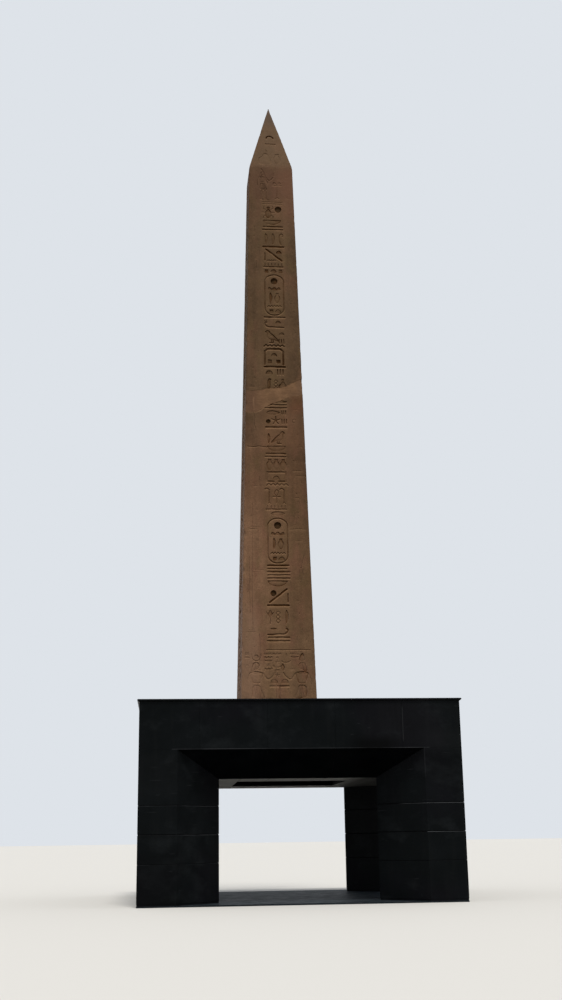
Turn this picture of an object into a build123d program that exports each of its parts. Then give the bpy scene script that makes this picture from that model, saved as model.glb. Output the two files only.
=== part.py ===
import os

from build123d import *

# Monument: a tapering granite shaft that stands over a square base with a portal in each side.
# Origin: centre of the base on the ground. +X right, +Y away from the front, +Z up. Millimetres.

# Base and portals
BASE_SIDE = 7200
PORTAL_WIDTH = 5500
PORTAL_HEIGHT = 3300
REVEAL_DEPTH = 950
SOFFIT_DROP = 600
FLOOR_THICKNESS = 30
FOOT_COURSE_HEIGHT = 40
FOOT_COURSE_SETBACK = 6

# Coping along the roof edge
COPING_HEIGHT = 65
COPING_OVERHANG = 45
COPING_WIDTH = 420
COPING_BEVEL = 12

# Structure above the portals
LINTEL_THICKNESS = 950
RING_BEAM_WIDTH = 600
BEAM_DEPTH = 800
ROOF_SLAB_THICKNESS = 235
CROSS_BEAM_WIDTH = 400
CEILING_THICKNESS = 50
CEILING_OPENING = 2600
LINING_THICKNESS = 40

# Granite shaft and its bearings
SHAFT_SHIFT_X = -250
SHAFT_FOOT_SIDE = 1900
SHAFT_NECK_SIDE = 1200
SHAFT_LENGTH = 15370
POINT_LENGTH = 2230
TIP_SIDE = 24
ROOF_GAP = 60
BEARING_SIDE = 300
BEARING_THICKNESS = 40
BEARING_EDGE = 50

# The old break across the shaft. Each point is a place across the face, then a height above
# the foot of the shaft at the front and at the back. The repair band fills the space between
# the upper and the lower broken surface.
BREAK_TOP = [(-760, 8620, 8440), (250, 8760, 8330), (760, 9030, 8650)]
BREAK_BOTTOM = [
    (-760, 8045, 7960),
    (-480, 8060, 8010),
    (-110, 8265, 7900),
    (270, 8435, 8060),
    (760, 8575, 8190),
]

# Worked-out places
BASE_HALF = BASE_SIDE / 2
PORTAL_HALF = PORTAL_WIDTH / 2
JAMB_HALF = PORTAL_HALF - REVEAL_DEPTH
REVEAL_INNER = BASE_HALF - REVEAL_DEPTH
CEILING_HEIGHT = PORTAL_HEIGHT - SOFFIT_DROP
CEILING_HALF = CEILING_OPENING / 2
FOOT_COURSE_TOP = FLOOR_THICKNESS + FOOT_COURSE_HEIGHT
LINTEL_INNER = BASE_HALF - LINTEL_THICKNESS
RING_INNER = LINTEL_INNER - RING_BEAM_WIDTH
BEAM_TOP = PORTAL_HEIGHT + BEAM_DEPTH
LINTEL_TOP = BEAM_TOP + ROOF_SLAB_THICKNESS
ROOF_TOP = LINTEL_TOP + COPING_HEIGHT
SHAFT_FOOT = BEAM_TOP + BEARING_THICKNESS
SHAFT_NECK = SHAFT_FOOT + SHAFT_LENGTH
SHAFT_TIP = SHAFT_NECK + POINT_LENGTH
BEARING_REACH = SHAFT_FOOT_SIDE / 2 - BEARING_EDGE - BEARING_SIDE / 2
ROOF_OPENING_HALF = SHAFT_FOOT_SIDE / 2 + ROOF_GAP

SIDES = {"front": 0, "right": 90, "back": 180, "left": 270}
CORNERS = {"front_right": 0, "back_right": 90, "back_left": 180, "front_left": 270}


def save(shape, name):
    """Writes one piece as parts/NAME.step."""
    shape.label = name
    export_step(shape, f"parts/{name}.step")


def prism(points, low, high):
    """An upright prism on a plan outline, from height low to height high."""
    outline = make_face(Polyline(*points, close=True))
    return Pos(0, 0, low) * extrude(outline, amount=high - low, dir=(0, 0, 1))


def front_bar(section):
    """A bar along the front side from a section of (y, z) points, mitred at both corners."""
    face = make_face(Polyline(*[(0, y, z) for y, z in section], close=True))
    bar = extrude(face, amount=BASE_SIDE, dir=(1, 0, 0), both=True)
    sector = prism([(0, 0), (-BASE_SIDE, -BASE_SIDE), (BASE_SIDE, -BASE_SIDE)], 0, ROOF_TOP)
    return bar & sector


def rectangle(left, right, front, back):
    """The four plan points of a rectangle, from its limits."""
    return [(left, front), (right, front), (right, back), (left, back)]


def box_section(outer, inner, low, high):
    """The four (y, z) points of a front bar between two distances from the centre."""
    return [(-outer, low), (-outer, high), (-inner, high), (-inner, low)]


def save_on_sides(shape, name):
    """Writes a front piece and its copies turned to the other three sides."""
    for side, turn in SIDES.items():
        save(Rot(0, 0, turn) * shape, f"{name}_{side}")


def pier_outline():
    """Plan of the front right pier: a splayed reveal towards each portal, a slanting face inside."""
    return [
        (JAMB_HALF, -REVEAL_INNER),
        (PORTAL_HALF, -BASE_HALF),
        (BASE_HALF, -BASE_HALF),
        (BASE_HALF, -PORTAL_HALF),
        (REVEAL_INNER, -JAMB_HALF),
    ]


def build_floor():
    """The floor inside the portals, flush with the outer faces."""
    plan = rectangle(-BASE_HALF, BASE_HALF, -BASE_HALF, BASE_HALF)
    save(prism(plan, 0, FLOOR_THICKNESS), "floor_slab")


def build_piers():
    """Four piers, each on its own slightly recessed foot course."""
    pier = prism(pier_outline(), FOOT_COURSE_TOP, PORTAL_HEIGHT)
    outline = make_face(Polyline(*pier_outline(), close=True))
    recessed = offset(outline, amount=-FOOT_COURSE_SETBACK, kind=Kind.INTERSECTION)
    foot = Pos(0, 0, FLOOR_THICKNESS) * extrude(recessed, amount=FOOT_COURSE_HEIGHT, dir=(0, 0, 1))
    for corner, turn in CORNERS.items():
        save(Rot(0, 0, turn) * pier, f"pier_{corner}")
        save(Rot(0, 0, turn) * foot, f"foot_course_{corner}")


def build_soffits():
    """Sloping soffits that fall inwards and meet the splayed reveals in a mitre."""
    plan = [
        (-PORTAL_HALF, -BASE_HALF),
        (PORTAL_HALF, -BASE_HALF),
        (JAMB_HALF, -REVEAL_INNER),
        (-JAMB_HALF, -REVEAL_INNER),
    ]
    slope = front_bar(
        [(-BASE_HALF, PORTAL_HEIGHT), (-REVEAL_INNER, PORTAL_HEIGHT), (-REVEAL_INNER, CEILING_HEIGHT)]
    )
    save_on_sides(prism(plan, CEILING_HEIGHT, PORTAL_HEIGHT) & slope, "soffit")


def build_roof_edge():
    """Lintels across the portals and the coping that overhangs them."""
    lintel = front_bar(box_section(BASE_HALF, LINTEL_INNER, PORTAL_HEIGHT, LINTEL_TOP))
    save_on_sides(lintel, "lintel")
    outer = BASE_HALF + COPING_OVERHANG
    inner = outer - COPING_WIDTH
    section = [
        (-outer, LINTEL_TOP),
        (-outer, ROOF_TOP - COPING_BEVEL),
        (-outer + COPING_BEVEL, ROOF_TOP),
        (-inner, ROOF_TOP),
        (-inner, LINTEL_TOP),
    ]
    save_on_sides(front_bar(section), "coping")


def build_ceiling():
    """Ceiling panels round the square opening, and the plates that line the opening."""
    middle = (JAMB_HALF + REVEAL_INNER) / 2
    plan = [
        (-JAMB_HALF, -REVEAL_INNER),
        (JAMB_HALF, -REVEAL_INNER),
        (middle, -middle),
        (CEILING_HALF, -CEILING_HALF),
        (-CEILING_HALF, -CEILING_HALF),
        (-middle, -middle),
    ]
    lining_foot = CEILING_HEIGHT + CEILING_THICKNESS
    save_on_sides(prism(plan, CEILING_HEIGHT, lining_foot), "ceiling")
    lining = box_section(CEILING_HALF + LINING_THICKNESS, CEILING_HALF, lining_foot, PORTAL_HEIGHT)
    save_on_sides(front_bar(lining), "opening_lining")


def build_beams():
    """The ring beam on the piers, and the crossing beams that carry the shaft over the opening."""
    ring = front_bar(box_section(LINTEL_INNER, RING_INNER, PORTAL_HEIGHT, BEAM_TOP))
    save_on_sides(ring, "ring_beam")
    half = CROSS_BEAM_WIDTH / 2
    for name, place in (("left", -BEARING_REACH), ("right", BEARING_REACH)):
        middle = SHAFT_SHIFT_X + place
        plan = rectangle(middle - half, middle + half, -RING_INNER, RING_INNER)
        save(prism(plan, PORTAL_HEIGHT, BEAM_TOP), f"cross_beam_{name}")
    reach = BEARING_REACH - half
    for name, place in (("front", -BEARING_REACH), ("back", BEARING_REACH)):
        plan = rectangle(SHAFT_SHIFT_X - reach, SHAFT_SHIFT_X + reach, place - half, place + half)
        save(prism(plan, PORTAL_HEIGHT, BEAM_TOP), f"tie_beam_{name}")


def build_bearings():
    """Four bearing pads between the crossing beams and the foot of the shaft."""
    pads = [
        Pos(SHAFT_SHIFT_X + x, y, BEAM_TOP + BEARING_THICKNESS / 2)
        * Box(BEARING_SIDE, BEARING_SIDE, BEARING_THICKNESS)
        for x in (-BEARING_REACH, BEARING_REACH)
        for y in (-BEARING_REACH, BEARING_REACH)
    ]
    save(Compound(children=pads), "bearing_pads")


def build_roof():
    """Roof slabs from the lintels to an even gap round the foot of the shaft."""
    outer = rectangle(-LINTEL_INNER, LINTEL_INNER, -LINTEL_INNER, LINTEL_INNER)
    left = SHAFT_SHIFT_X - ROOF_OPENING_HALF
    right = SHAFT_SHIFT_X + ROOF_OPENING_HALF
    inner = rectangle(left, right, -ROOF_OPENING_HALF, ROOF_OPENING_HALF)
    for index, side in enumerate(SIDES):
        following = (index + 1) % len(outer)
        plan = [outer[index], outer[following], inner[following], inner[index]]
        save(prism(plan, BEAM_TOP, LINTEL_TOP), f"roof_slab_{side}")


def square(side, height):
    """A horizontal square round the shaft's axis at a height."""
    return Pos(SHAFT_SHIFT_X, 0, height) * Rectangle(side, side).face()


def across_shaft(points):
    """A solid through the whole shaft, lofted from its outline in front to its outline behind."""
    reach = SHAFT_FOOT_SIDE / 2
    front = [(SHAFT_SHIFT_X + x, -reach, SHAFT_FOOT + z) for x, z, _ in points]
    back = [(SHAFT_SHIFT_X + x, reach, SHAFT_FOOT + z) for x, _, z in points]
    faces = [make_face(Polyline(*outline, close=True)).face() for outline in (front, back)]
    return loft(faces, ruled=True)


def past_the_arrises(points):
    """A break's points, run on level past both sides of the shaft."""
    reach = SHAFT_FOOT_SIDE
    return [(-reach, *points[0][1:]), *points, (reach, *points[-1][1:])]


def build_shaft():
    """The shaft in two broken lengths with the repair band between them."""
    foot = square(SHAFT_FOOT_SIDE, SHAFT_FOOT)
    neck = square(SHAFT_NECK_SIDE, SHAFT_NECK)
    tip = square(TIP_SIDE, SHAFT_TIP)
    monolith = loft([foot, neck], ruled=True) + loft([neck, tip], ruled=True)
    top = past_the_arrises(BREAK_TOP)
    bottom = past_the_arrises(BREAK_BOTTOM)
    left, right = top[0][0], top[-1][0]
    high = SHAFT_LENGTH + POINT_LENGTH + SHAFT_FOOT_SIDE
    low = -SHAFT_FOOT_SIDE
    above = across_shaft([*top, (right, high, high), (left, high, high)])
    between = across_shaft([*top, *reversed(bottom)])
    below = across_shaft([*bottom, (right, low, low), (left, low, low)])
    save(monolith & above, "shaft_upper_fragment")
    save(monolith & between, "shaft_repair_band")
    save(monolith & below, "shaft_lower_fragment")


os.makedirs("parts", exist_ok=True)
build_floor()
build_piers()
build_soffits()
build_roof_edge()
build_ceiling()
build_beams()
build_bearings()
build_roof()
build_shaft()
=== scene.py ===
import math

import bmesh
import bpy
import numpy as np
from mathutils import Matrix, Vector, noise
from mathutils.geometry import delaunay_2d_cdt


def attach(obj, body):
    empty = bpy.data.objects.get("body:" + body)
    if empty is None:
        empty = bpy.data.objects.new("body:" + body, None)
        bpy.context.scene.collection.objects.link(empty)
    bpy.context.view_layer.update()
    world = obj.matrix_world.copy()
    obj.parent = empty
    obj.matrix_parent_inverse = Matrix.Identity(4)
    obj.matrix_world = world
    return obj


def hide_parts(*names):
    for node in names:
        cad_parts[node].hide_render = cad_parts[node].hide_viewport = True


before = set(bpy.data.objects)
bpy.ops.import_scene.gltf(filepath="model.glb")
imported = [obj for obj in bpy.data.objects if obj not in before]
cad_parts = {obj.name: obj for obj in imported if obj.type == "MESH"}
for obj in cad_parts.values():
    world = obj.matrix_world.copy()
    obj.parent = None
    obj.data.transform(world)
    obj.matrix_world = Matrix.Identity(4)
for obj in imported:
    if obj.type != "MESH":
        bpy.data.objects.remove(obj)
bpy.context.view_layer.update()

# The monument's finish: a carved granite shaft in two broken lengths, jointed black cladding,
# floor tiles and the materials of everything else. Metres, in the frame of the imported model.

# Base
BASE_HALF = 3.6
PORTAL_HALF = 2.75
JAMB_HALF = 1.8
REVEAL_INNER = 2.65
FLOOR_TOP = 0.03
PIER_FOOT = 0.07
CEILING_HEIGHT = 2.7
OPENING_HALF = 1.3
PORTAL_HEIGHT = 3.3
LINTEL_TOP = 4.335
ROOF_TOP = 4.4
COPING_OUTER = 3.645
COPING_INNER = 3.225
COPING_BEVEL = 0.012
COPING_LIP = 0.036

# Joints of the cladding and the floor
COURSES = (0.88, 1.495, 2.11)
COURSE_JOINTS = (0.006, 0.014, 0.012)
LINTEL_JOINTS = (-2.27, -0.757, 0.757, 2.27)
COPING_JOINTS = (-2.4, -1.2, 0.0, 1.2, 2.4)
UPRIGHT_JOINT = 0.004
UPRIGHT_ARRIS = 0.001
JOINT_DEPTH = 0.010
EDGE_CHAMFER = 0.003
# The chamfer under each course joint, whose pale colour is painted highlight.
COURSE_CHAMFER = 0.008
FLOOR_TILE = 0.9
TILE_GAP = 0.0015
TILE_EDGE = 0.002

# Broad tones on the front's stone: left, right, low and high edge, share and grey level
FRONT_TONES = (
    (1.6, 3.1, 3.3, 4.6, 0.045, 60),
    (2.9, 3.9, 3.2, 3.7, 0.06, 60),
    (1.1, 2.15, 3.2, 3.55, 0.85, 0),
    (-3.9, -2.7, -0.5, 1.15, 0.40, 0),
    (-3.9, -2.7, 2.3, 3.2, 0.03, 60),
    (2.7, 3.9, 2.6, 3.25, 0.35, 0),
)

# Shaft
AXIS_X = -0.25
FOOT_Z = 4.14
NECK_Z = 19.51
TIP_Z = 21.74
FOOT_HALF = 0.95
NECK_HALF = 0.6
TIP_HALF = 0.012
SIDE_TURNS = (0, 90, 180, 270)

# The break: place across the face, height above the foot at the front and at the back
BREAK_TOP = ((-0.76, 8.62, 8.44), (0.25, 8.76, 8.33), (0.76, 9.03, 8.65))
BREAK_BOTTOM = (
    (-0.76, 8.045, 7.96), (-0.48, 8.06, 8.01), (-0.11, 8.265, 7.90), (0.27, 8.435, 8.06), (0.76, 8.575, 8.19),
)
BREAK_HALF = 0.75
BREAK_MIDDLE = 8.4
MORTAR_INSET = 0.005

# Sizes and scales of the roughness of the break, and rows and scales of the wear of the arrises
BREAK_ROUGHNESS = ((0.022, 4), (0.012, 15))
ARRIS_NOISE = ((0, 0.9), (5, 3.1), (9, 11.0))

# Chips that the photograph shows on the arrises: height, reach up and down, and loss, by corner
KNOWN_CHIPS = {0: ((13.42, 0.16, 0.05), (5.2, 0.10, 0.03)), 3: ((8.9, 0.12, 0.03), (17.2, 0.2, 0.03))}

# Carving
COLUMN_SHIFT = 0.025
COLUMN_TOP = 18.42
SIGN_SCALE = 1.19
ROW_GAP = 0.04
SCENE_FOOT = 4.20
SCENE_TOP = 5.9
FIGURE_SCALE = 1.42
SCRATCH_COUNT = 130
SCRATCHED_HEIGHTS = (4.4, 18.9)
CUT_DEPTH = 0.028
WALL = 0.011
BULGE_REACH = 0.045
LIP = 0.024
LIP_DEPTH = 0.008
LIPPED_DEPTH = 0.010

# Seed of the noise that makes the cut lines unsteady. Unseeded, it would change with every run.
NOISE_SEED = 7

# The shaft's mesh: its steps, how uneven they are, and rows of points beside the arrises and the break
ARRIS_STEP = 0.05
FACE_STEP = 0.075
END_STEP = 0.12
UNEVENNESS = 0.012
BESIDE_ARRIS = (0.014, 0.035)
BESIDE_BREAK = (-0.036, -0.015, 0.015, 0.036)

# Depths from which a cut is painted dark with shade, over which the painted shade deepens, and at which
# broken stone looks newly broken
DARK_FROM = 0.003
DARK_RANGE = 0.031
FRESH_DEPTH = 0.008

# Stage: the ground, the sun and the camera's place, turn, pitch and roll
GROUND_HALF = 900
GROUND_Z = -0.002
SUN_DIRECTION = (-0.05, 0.62, -1.30)
CAMERA_PLACE = (-3.0165, -31.1985, 1.3434)
CAMERA_TURN = -0.0950
CAMERA_PITCH = 0.2698
CAMERA_ROLL = -0.0146
CAMERA_LENS = 44.308

# How much of the column's depth the weather has left, by height
COLUMN_WEAR = (
    (6.2, 0.75), (6.8, 0.95), (9.0, 0.85), (9.5, 0.62), (10.3, 0.62), (11.0, 0.75), (12.6, 0.85), (13.2, 1.0),
    (15.6, 1.0), (16.5, 0.80), (18.6, 0.80),
)


# Outlines
def arc(centre, radii, start, end, count):
    """Points along an elliptical arc, angles in degrees."""
    angles = np.radians(np.linspace(start, end, count))
    return [(centre[0] + radii[0] * math.cos(a), centre[1] + radii[1] * math.sin(a)) for a in angles]


def oval(centre, radii, count=20):
    """A closed ellipse without a repeated end."""
    return arc(centre, radii, 0, 360, count + 1)[:-1]


def places(*values):
    """Points in metres, from millimetres across and up in turn."""
    return [(x / 1000, y / 1000) for x, y in zip(values[::2], values[1::2])]


def smooth(points, rounds=1, closed=False):
    """Cuts the corners of a line to round it."""
    points = [Vector(p) for p in points]
    for _ in range(rounds):
        rounded = [] if closed else [points[0]]
        for a, b in zip(points, points[1:] + points[:1] if closed else points[1:]):
            rounded += [a.lerp(b, 0.25), a.lerp(b, 0.75)]
        points = rounded if closed else rounded + [points[-1]]
    return [tuple(p) for p in points]


# Cuts. One that goes over lies in another and is added to it.
def groove(points, half, depth=CUT_DEPTH, closed=False, over=False):
    """A cut along a line."""
    return {"points": points, "half": half, "depth": depth, "closed": closed, "over": over}


def sunk(points, depth=CUT_DEPTH, bulge=0.010, over=False):
    """A cut over a closed area, with a raised middle."""
    return {"points": points, "bulge": bulge, "depth": depth, "closed": True, "over": over}


def stroke(half, depth, *values, rounds=0, over=False):
    """A groove with all its sizes in millimetres."""
    line = places(*values)
    return groove(smooth(line, rounds) if rounds else line, half / 1000, depth / 1000, over=over)


def shape(bulge, *values, depth=28):
    """A rounded sunk area with all its sizes in millimetres."""
    return sunk(smooth(places(*values), closed=True), depth / 1000, bulge / 1000)


def moved(cuts, x=0.0, y=0.0, scale=1.0, flip=False):
    """The same cuts, scaled and set elsewhere."""
    sign = -scale if flip else scale
    placed = []
    for cut in cuts:
        placed.append({**cut, "points": [(x + sign * px, y + scale * py) for px, py in cut["points"]]})
        if "half" in cut:
            placed[-1]["half"] *= max(scale, 0.6)
    return placed


def weathered(cuts, share, patchy=0.0):
    """The same cuts, worn down to a share of their depth. patchy wears some places more than others."""
    worn_down = []
    for cut in cuts:
        bulge = cut.get("bulge", 0.0) * share
        worn_down.append({**cut, "depth": cut["depth"] * share, "bulge": bulge, "patchy": patchy})
    return worn_down


def hand_cut(cuts, seed):
    """The same cuts with their lines divided and slightly unsteady."""
    done = []
    for cut in cuts:
        ends = [Vector(p) for p in cut["points"]]
        line = []
        for a, b in zip(ends, ends[1:] + ends[:1] if cut["closed"] else ends[1:]):
            parts = max(1, round((b - a).length / 0.07))
            line += [a.lerp(b, i / parts) for i in range(parts)]
        if not cut["closed"]:
            line.append(ends[-1])
        moves = [noise.noise_vector(Vector((p.x * 9, p.y * 9, seed))) * 0.007 for p in line]
        done.append({**cut, "points": [(p.x + m.x, p.y + m.y) for p, m in zip(line, moves)]})
    return done


# Signs. Each stands on height 0 with its middle at 0.
BAR = [stroke(26, 32, -235, 20, 235, 20)]
DOUBLE_BAR = [stroke(18, 28, -235, 15, 235, 15), stroke(22, 28, -210, 90, 230, 90)]
FINE_LINES = [stroke(10, 16, -235, y, 235, y) for y in (0, 50)]
SLATS = [
    stroke(half, 28, -235, y, right, y)
    for half, y, right in ((19, 15, 235), (16, 85, 235), (23, 155, 235), (16, 225, 170))
]
WATER = [groove([(-0.23 + 0.046 * i, 0.015 + 0.045 * (i % 2)) for i in range(11)], 0.016)]
DISC, DEEP_DISC = ([sunk(oval((0, 0.085), (0.085, 0.085)), depth, 0.0)] for depth in (0.044, 0.056))
LOAF = [sunk(arc((0, 0.005), (0.085, 0.095), 0, 180, 13))]
BASKET = [sunk(arc((0, 0.14), (0.225, 0.135), 180, 360, 19), bulge=0.019)]
LENS = arc((0, -0.02), (0.20, 0.11), 30, 150, 9) + arc((0, 0.09), (0.20, 0.11), 210, 330, 9)
MOUTH = [sunk(LENS, bulge=0.014)]
ROPE = [
    groove([(side * 0.045 * math.sin(math.pi * i / 4), 0.02 + 0.0225 * i) for i in range(13)], 0.013, 0.022)
    for side in (-1, 1)
]
COMB = [stroke(20, 28, -225, 15, 225, 15)]
COMB += [groove([(x, 0.015), (x, 0.10)], 0.012, 0.022) for x in np.linspace(-0.20, 0.20, 6).tolist()]
VIPER = [
    stroke(21, 28, 225, 15, 100, 15, -20, 30, -130, 20, -190, 60, -215, 125, -170, 140, rounds=1),
    stroke(7, 28, -190, 135, -215, 185),
    stroke(7, 28, -175, 140, -170, 190),
]
BLOCK = [sunk(places(-50, 0, 50, 0, 50, 95, -50, 95), 0.032, 0.004)]
REED = [shape(10, -12, 0, 16, 0, 62, 130, 60, 240, 14, 340, -18, 300, -24, 150)]
BIRD = [
    shape(
        14, -165, 262, -128, 312, -85, 325, -45, 300, -30, 255, 30, 215, 105, 140, 180, 45, 165, 15,
        85, 60, 15, 82, -45, 82, -95, 120, -112, 180, -105, 232, -130, 255,
    ),
    stroke(14, 28, -12, 85, -10, 12, -55, 12),
    stroke(14, 28, 30, 85, 34, 12, -4, 12),
    stroke(7, 6, -50, 205, 30, 150, 125, 60, over=True),
]
EYE = [
    sunk(arc((0, 0.02), (0.19, 0.115), 20, 160, 9) + arc((0, 0.10), (0.19, 0.085), 200, 340, 9), bulge=0.006),
    sunk(oval((0, 0.062), (0.036, 0.036), 12), 0.010, 0.0, over=True),
]
COURT = [stroke(24, 30, -60, 15, -215, 15, -215, 235, 215, 235, 215, 15, 60, 15)]
SHRINE = [stroke(25, 32, -215, 0, -215, 330, -150, 390, 150, 390, 215, 330, 215, 0)]
SHRINE += moved(BLOCK, -0.10, 0.03) + moved(BLOCK, 0.10, 0.03) + moved(LOAF, 0, 0.20, 0.9)
STAFF = [
    stroke(18, 28, 0, 0, 0, 330),
    stroke(20, 28, 0, 330, -55, 370, -100, 345, rounds=1),
    stroke(11, 28, -30, -20, 0, 20, 30, -20),
]
SLANT = [stroke(23, 30, -170, 300, 200, 10), stroke(15, 28, -190, 20, -190, 200)]
LOTUS = [
    sunk(places(-20, 150, -115, 300, -50, 255, 0, 340, 50, 255, 115, 300, 20, 150), bulge=0.006),
    stroke(12, 28, 0, 0, 6, 80, 0, 150),
]
STAR_MIDDLE = Vector((0, 0.11))
STAR = [
    groove([tuple(STAR_MIDDLE), tuple(STAR_MIDDLE + Vector((0.11 * math.sin(a), 0.11 * math.cos(a))))], 0.018)
    for a in np.radians(np.arange(0, 360, 72))
]
ARM = [stroke(22, 28, -220, 115, -200, 20, 140, 20, 165, 75, 230, 85, rounds=1)]
LOOPED_CROSS = [
    groove(smooth(oval((0, 0.255), (0.048, 0.078), 10), closed=True), 0.016, closed=True),
    stroke(20, 28, -85, 155, 85, 155),
    stroke(20, 28, 0, 150, 0, 0),
]
HILLS = [
    shape(8, -230, 0, -210, 115, -135, 125, -85, 55, -40, 125, 40, 125, 85, 55, 135, 125, 210, 115, 230, 0),
]
LEGS = [
    stroke(9, 18, 60, 240, 120, 270, 105, 330),
    stroke(9, 18, 70, 160, 150, 165),
    stroke(9, 18, 60, 80, 120, 50, 115, 0),
]
BEETLE = [
    sunk(oval((0, 0.13), (0.078, 0.125)), bulge=0.014),
    sunk(oval((0, 0.285), (0.048, 0.035), 12), bulge=0.006),
    stroke(6, 6, -60, 190, 60, 190, over=True),
    stroke(6, 6, 0, 190, 0, 30, over=True),
]
BEETLE += moved(LEGS, flip=True) + LEGS
JAR = [shape(14, -35, 0, 35, 0, 75, 100, 70, 170, 30, 215, 50, 260, -50, 260, -30, 215, -70, 170, -75, 100)]
TALLIES = [stroke(17, 28, x, 0, x, 120) for x in (-62, 0, 62)]
CROOK = [stroke(19, 28, 30, 0, 0, 100, -10, 250, 30, 320, 85, 300, 80, 245, rounds=2)]
PLUME = [shape(12, -30, 0, 35, 0, 50, 160, 45, 280, 85, 310, 20, 350, -35, 300, -45, 150)]
SEATED = [
    shape(12, -100, 0, 100, 0, 85, 130, 45, 215, 35, 245, -35, 245, -50, 200, -85, 165, -120, 150, -115, 60),
    sunk(oval((-0.002, 0.285), (0.038, 0.045), 14)),
]

# An upright oval ring on a base bar, with plain signs in it that spell nothing
RING_HALF, RING_LOW, RING_HIGH, RING_CORNER = 0.215, 0.07, 1.08, 0.17
RING = arc((0, RING_HIGH - RING_CORNER), (RING_HALF, RING_CORNER), 0, 180, 13)
RING += arc((0, RING_LOW + RING_CORNER), (RING_HALF, RING_CORNER), 180, 360, 13)
CARTOUCHE = [groove(RING, 0.017, 0.024, closed=True), stroke(22, 28, -230, 20, 230, 20)]
CARTOUCHE += moved(DEEP_DISC, 0.0, 0.84, 0.95) + moved(HILLS, 0.0, 0.69, 0.68)
CARTOUCHE += moved(REED, -0.095, 0.36, 0.85) + moved(JAR, 0.065, 0.38, 0.95)
CARTOUCHE += moved(WATER, 0.0, 0.27, 0.70) + moved(BLOCK, -0.07, 0.13, 0.9) + moved(LOAF, 0.08, 0.13, 0.9)


def side_by_side(*signs):
    """Signs in one row, spread evenly across the column."""
    spread, scale = (0.25, 1.0) if len(signs) == 2 else (0.165, 0.9)
    middle = (len(signs) - 1) / 2
    return [cut for i, sign in enumerate(signs) for cut in moved(sign, (i - middle) * spread, 0.0, scale)]


# The rows of the carved column, from the top down: each is its height and its cuts
COLUMN_ROWS = (
    (0.06, FINE_LINES),
    (0.34, moved(BEETLE, -0.09) + moved(DISC, 0.15, 0.16)),
    (0.14, BASKET),
    (0.10, DOUBLE_BAR),
    (0.34, side_by_side(REED, REED, CROOK)),
    (0.04, BAR),
    (0.31, SLANT + moved(LOAF, 0.13, 0.19, 0.8) + moved(WATER, -0.04, 0.0, 0.45)),
    (0.13, COMB),
    (0.10, side_by_side(BLOCK, LOAF, BLOCK)),
    (1.10, CARTOUCHE),
    (0.21, VIPER + moved(LOAF, 0.10, 0.11, 0.8)),
    (0.34, moved(BIRD, -0.055) + moved(LOAF, 0.165, 0.20, 0.7) + moved(TALLIES, 0.16, 0.0, 0.8)),
    (0.06, WATER),
    (0.39, SHRINE),
    (0.04, BAR),
    (0.13, side_by_side(LOAF, TALLIES)),
    (0.35, side_by_side(PLUME, ROPE, SEATED)),
    (0.12, ARM),
    (0.24, SLATS),
    (0.10, moved(MOUTH, -0.05) + moved(TALLIES, 0.20, 0.0, 0.7)),
    (
        0.22,
        moved(STAR, -0.01, 0.01, 0.9) + moved(DISC, -0.185, 0.03, 0.65) + moved(TALLIES, 0.185, 0.04, 0.85),
    ),
    (0.04, BAR),
    (0.34, moved(BIRD, 0.055, flip=True) + moved(REED, -0.18, 0.0, 0.8)),
    (0.14, BASKET),
    (0.10, DOUBLE_BAR),
    (0.26, moved(JAR, -0.15) + moved(JAR, 0.0) + moved(JAR, 0.15)),
    (0.24, COURT + moved(LOAF, 0.0, 0.05)),
    (0.06, WATER),
    (0.34, side_by_side(STAFF, LOOPED_CROSS, STAFF)),
    (0.13, COMB),
    (0.08, MOUTH),
    (1.10, CARTOUCHE),
    (0.24, SLATS),
    (0.14, BASKET),
    (0.31, moved(SLANT, flip=True) + moved(DISC, -0.12, 0.14, 0.8)),
    (0.04, BAR),
    (0.34, side_by_side(LOTUS, ROPE, REED)),
    (0.21, moved(VIPER, flip=True) + moved(MOUTH, -0.10, 0.12, 0.5)),
    (0.10, DOUBLE_BAR),
)


def column():
    """All cuts of one carved column, placed on the face, some rows more worn than others."""
    rng = np.random.default_rng(11)
    cuts = []
    height = COLUMN_TOP
    for size, row in COLUMN_ROWS:
        height -= size * SIGN_SCALE
        scale = SIGN_SCALE * rng.uniform(0.95, 1.01)
        row = moved(row, COLUMN_SHIFT + rng.uniform(-0.02, 0.02), height, scale)
        left_depth = np.interp(height, *zip(*COLUMN_WEAR))
        cuts += weathered(row, left_depth * rng.uniform(0.8, 1.1), 0.35)
        height -= ROW_GAP
    return hand_cut(cuts, seed=3.0)


# The scenes at the foot and the top
TALL_CROWN = [shape(10, -50, 990, -45, 1060, -15, 1130, 20, 1150, 40, 1120, 45, 1050, 60, 1000, depth=18)]
HORNED_DISC = [
    sunk(oval((0, 1.075), (0.040, 0.040), 14), 0.018, 0.006),
    stroke(10, 16, -85, 1120, -70, 1030, 0, 1000, 70, 1030, 85, 1120, rounds=1),
]
LONG_STAFF = [stroke(10, 16, -345, 0, -345, 980)]
HELD_JAR = moved(JAR, -0.335, 0.83, 0.5)
OFFERING_TABLE = [
    stroke(14, 14, -120, 420, 120, 420),
    stroke(14, 14, 0, 420, 0, 30, -50, 0),
    stroke(14, 14, 0, 30, 50, 0),
]
OFFERING_TABLE += [
    {**cut, "depth": 0.014, "bulge": 0.006} for x in (-0.07, 0.07) for cut in moved(LOAF, x, 0.455, 0.6)
]


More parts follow.
